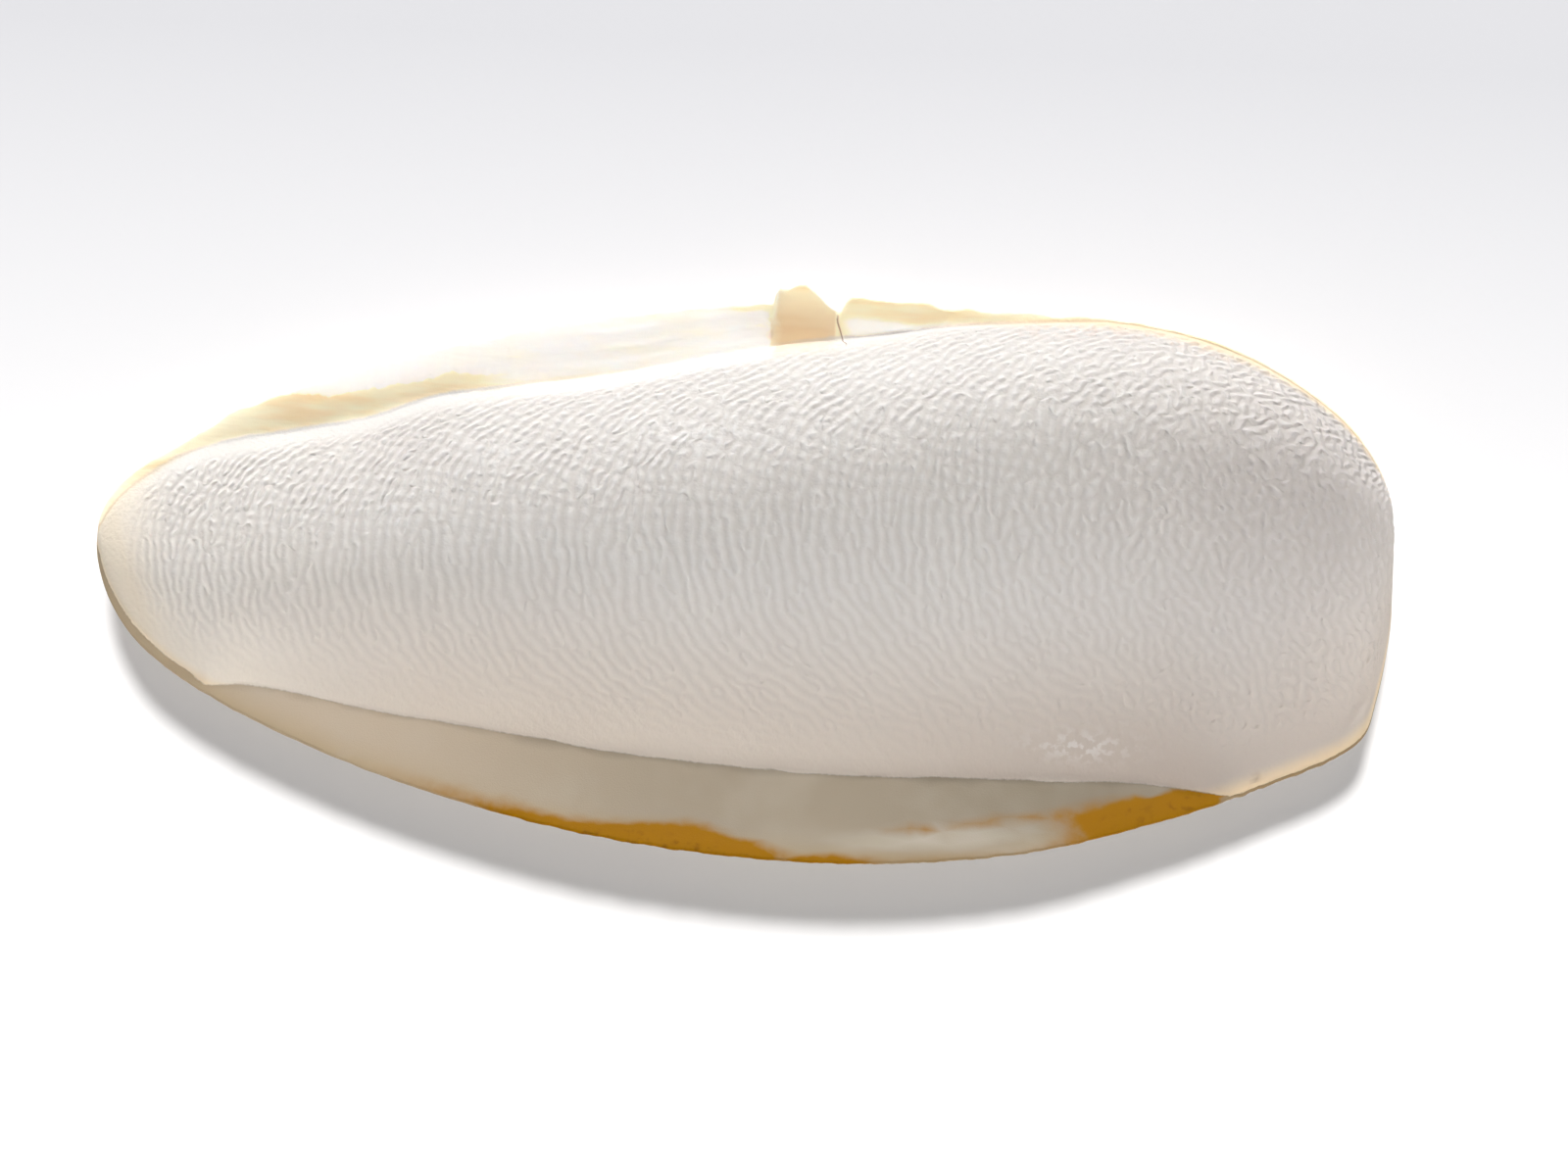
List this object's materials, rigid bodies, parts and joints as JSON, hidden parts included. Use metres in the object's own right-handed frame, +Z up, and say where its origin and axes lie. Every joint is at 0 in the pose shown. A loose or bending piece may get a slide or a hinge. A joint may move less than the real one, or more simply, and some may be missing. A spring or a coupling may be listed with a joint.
{
  "type": "cuttlebone",
  "caption": "Long oval cuttlebone with a soft, finely ridged white face, thin smooth amber-edged margins and a hard convex back, lying on its back.",
  "frame": {"origin": "middle of the underside of the object's box, on the surface it lies on", "axes": "+X along the bone towards its blunt end, +Y across it towards the chipped margin, +Z up, out of the soft ridged face"},
  "size_m": [0.125, 0.0558, 0.0166],
  "materials": {
    "bone": "matte"
  },
  "bodies": {
    "root": {"cuttlebone": "bone"}
  },
  "joints": []
}
